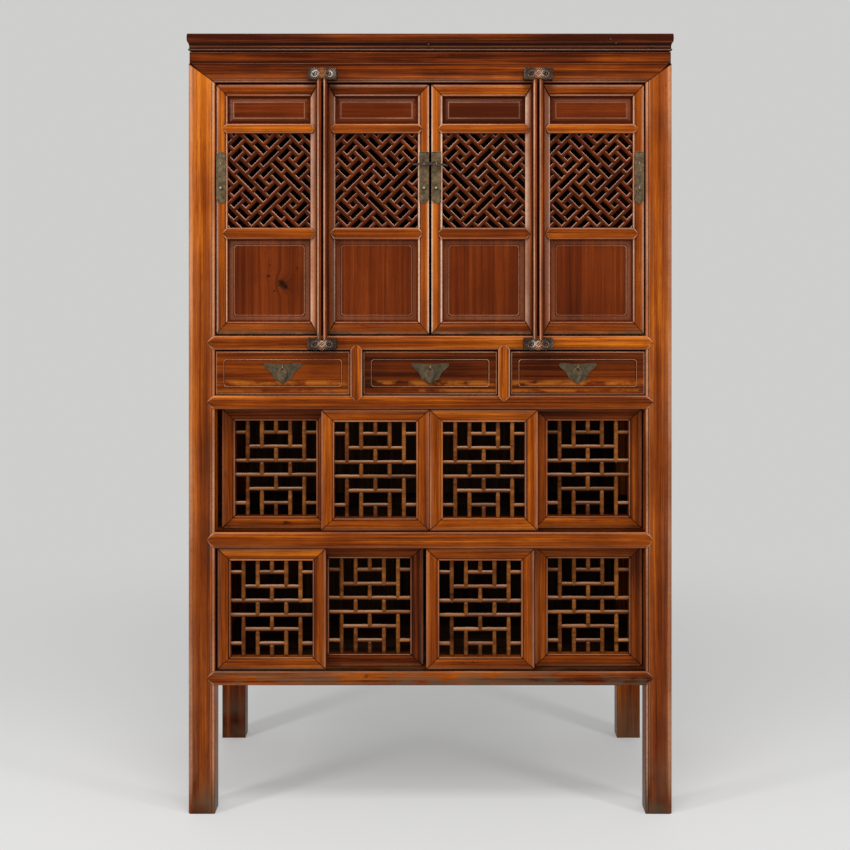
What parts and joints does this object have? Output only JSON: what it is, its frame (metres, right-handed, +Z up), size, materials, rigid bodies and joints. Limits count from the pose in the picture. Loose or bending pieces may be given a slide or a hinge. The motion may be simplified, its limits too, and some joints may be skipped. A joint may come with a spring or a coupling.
{
  "type": "chinese book cabinet",
  "caption": "Tall wooden book cabinet with hinged lattice doors over a row of drawers and two rows of sliding lattice doors, with brass plates and pulls.",
  "frame": {"origin": "on the floor, under the middle of the whole cabinet's bounding box", "axes": "+Z up, the front with its doors faces -Y, +X to the right of someone who faces the front"},
  "size_m": [1.096, 0.513, 1.7567],
  "materials": {
    "lacquered_wood": "worn satin lacquer",
    "inner_wood": "plain, aged",
    "aged_brass": "aged, greenish brown"
  },
  "bodies": {
    "carcass": {"front_post_left": "lacquered_wood", "front_post_right": "lacquered_wood", "back_posts": "lacquered_wood", "bottom_rail": "lacquered_wood", "middle_rail": "lacquered_wood", "drawer_rail": "lacquered_wood", "door_rail": "lacquered_wood", "top_rail": "lacquered_wood", "drawer_dividers": "lacquered_wood", "side_rails": "lacquered_wood", "side_panels": "lacquered_wood", "back_rails": "inner_wood", "back_panels": "inner_wood", "bottom_floor": "inner_wood", "middle_floor": "inner_wood", "upper_floor": "inner_wood", "drawer_runners": "inner_wood", "book_shelf": "inner_wood", "frieze_boards": "lacquered_wood", "cap_frame": "lacquered_wood", "top_panel": "inner_wood", "pivot_blocks": "lacquered_wood"},
    "leaf_1": {"leaf_1_frame": "lacquered_wood", "leaf_1_panels": "lacquered_wood", "leaf_1_lattice": "lacquered_wood", "leaf_1_lock_plate": "aged_brass"},
    "leaf_2": {"leaf_2_frame": "lacquered_wood", "leaf_2_panels": "lacquered_wood", "leaf_2_lattice": "lacquered_wood", "leaf_2_lock_plate": "aged_brass"},
    "leaf_3": {"leaf_3_frame": "lacquered_wood", "leaf_3_panels": "lacquered_wood", "leaf_3_lattice": "lacquered_wood", "leaf_3_lock_plate": "aged_brass"},
    "leaf_4": {"leaf_4_frame": "lacquered_wood", "leaf_4_panels": "lacquered_wood", "leaf_4_lattice": "lacquered_wood", "leaf_4_lock_plate": "aged_brass"},
    "leaf_4_pendant": {"leaf_4_pendant": "aged_brass"},
    "upper_sliding_door_1": {"upper_sliding_door_1": "lacquered_wood"},
    "upper_sliding_door_2": {"upper_sliding_door_2": "lacquered_wood"},
    "upper_sliding_door_3": {"upper_sliding_door_3": "lacquered_wood"},
    "upper_sliding_door_4": {"upper_sliding_door_4": "lacquered_wood"},
    "lower_sliding_door_1": {"lower_sliding_door_1": "lacquered_wood"},
    "lower_sliding_door_2": {"lower_sliding_door_2": "lacquered_wood"},
    "lower_sliding_door_3": {"lower_sliding_door_3": "lacquered_wood"},
    "lower_sliding_door_4": {"lower_sliding_door_4": "lacquered_wood"},
    "drawer_left": {"drawer_left_front": "lacquered_wood", "drawer_left_box": "inner_wood", "drawer_left_handle_plate": "aged_brass"},
    "drawer_left_pull": {"drawer_left_pull": "aged_brass"},
    "drawer_middle": {"drawer_middle_front": "lacquered_wood", "drawer_middle_box": "inner_wood", "drawer_middle_handle_plate": "aged_brass"},
    "drawer_middle_pull": {"drawer_middle_pull": "aged_brass"},
    "drawer_right": {"drawer_right_front": "lacquered_wood", "drawer_right_box": "inner_wood", "drawer_right_handle_plate": "aged_brass"},
    "drawer_right_pull": {"drawer_right_pull": "aged_brass"}
  },
  "joints": [
    {"name": "leaf_1_hinge", "type": "hinge", "parent": "carcass", "child": "leaf_1", "pos_m": [-0.24927, -0.24555, 1.3612], "axis": [0, 0, 1], "range_deg": [0, 90]},
    {"name": "leaf_2_hinge", "type": "hinge", "parent": "carcass", "child": "leaf_2", "pos_m": [-0.23547, -0.24555, 1.3612], "axis": [0, 0, -1], "range_deg": [0, 90]},
    {"name": "leaf_3_hinge", "type": "hinge", "parent": "carcass", "child": "leaf_3", "pos_m": [0.23547, -0.24555, 1.3612], "axis": [0, 0, 1], "range_deg": [0, 90]},
    {"name": "leaf_4_hinge", "type": "hinge", "parent": "carcass", "child": "leaf_4", "pos_m": [0.24927, -0.24555, 1.3612], "axis": [0, 0, -1], "range_deg": [0, 90]},
    {"name": "leaf_4_pendant_hinge", "type": "hinge", "parent": "leaf_4", "child": "leaf_4_pendant", "pos_m": [0.471, -0.2373, 1.4092], "axis": [1, 0, 0], "range_deg": [-85, 0]},
    {"name": "upper_sliding_door_1_slide", "type": "slide", "parent": "carcass", "child": "upper_sliding_door_1", "axis": [1, 0, 0], "range_m": [-0.01, 0.23]},
    {"name": "upper_sliding_door_2_slide", "type": "slide", "parent": "carcass", "child": "upper_sliding_door_2", "axis": [-1, 0, 0], "range_m": [0, 0.236]},
    {"name": "upper_sliding_door_3_slide", "type": "slide", "parent": "carcass", "child": "upper_sliding_door_3", "axis": [1, 0, 0], "range_m": [0, 0.24]},
    {"name": "upper_sliding_door_4_slide", "type": "slide", "parent": "carcass", "child": "upper_sliding_door_4", "axis": [-1, 0, 0], "range_m": [-0.003, 0.23]},
    {"name": "lower_sliding_door_1_slide", "type": "slide", "parent": "carcass", "child": "lower_sliding_door_1", "axis": [1, 0, 0], "range_m": [-0.004, 0.225]},
    {"name": "lower_sliding_door_2_slide", "type": "slide", "parent": "carcass", "child": "lower_sliding_door_2", "axis": [-1, 0, 0], "range_m": [0, 0.224]},
    {"name": "lower_sliding_door_3_slide", "type": "slide", "parent": "carcass", "child": "lower_sliding_door_3", "axis": [1, 0, 0], "range_m": [0, 0.248]},
    {"name": "lower_sliding_door_4_slide", "type": "slide", "parent": "carcass", "child": "lower_sliding_door_4", "axis": [-1, 0, 0], "range_m": [-0.002, 0.25]},
    {"name": "drawer_left_slide", "type": "slide", "parent": "carcass", "child": "drawer_left", "axis": [0, -1, 0], "range_m": [0, 0.3]},
    {"name": "drawer_left_pull_hinge", "type": "hinge", "parent": "drawer_left", "child": "drawer_left_pull", "pos_m": [-0.33233, -0.2373, 1.0058], "axis": [-1, 0, 0], "range_deg": [0, 85]},
    {"name": "drawer_middle_slide", "type": "slide", "parent": "carcass", "child": "drawer_middle", "axis": [0, -1, 0], "range_m": [0, 0.3]},
    {"name": "drawer_middle_pull_hinge", "type": "hinge", "parent": "drawer_middle", "child": "drawer_middle_pull", "pos_m": [0, -0.2373, 1.0058], "axis": [-1, 0, 0], "range_deg": [0, 85]},
    {"name": "drawer_right_slide", "type": "slide", "parent": "carcass", "child": "drawer_right", "axis": [0, -1, 0], "range_m": [0, 0.3]},
    {"name": "drawer_right_pull_hinge", "type": "hinge", "parent": "drawer_right", "child": "drawer_right_pull", "pos_m": [0.33233, -0.2373, 1.0058], "axis": [-1, 0, 0], "range_deg": [0, 85]}
  ]
}
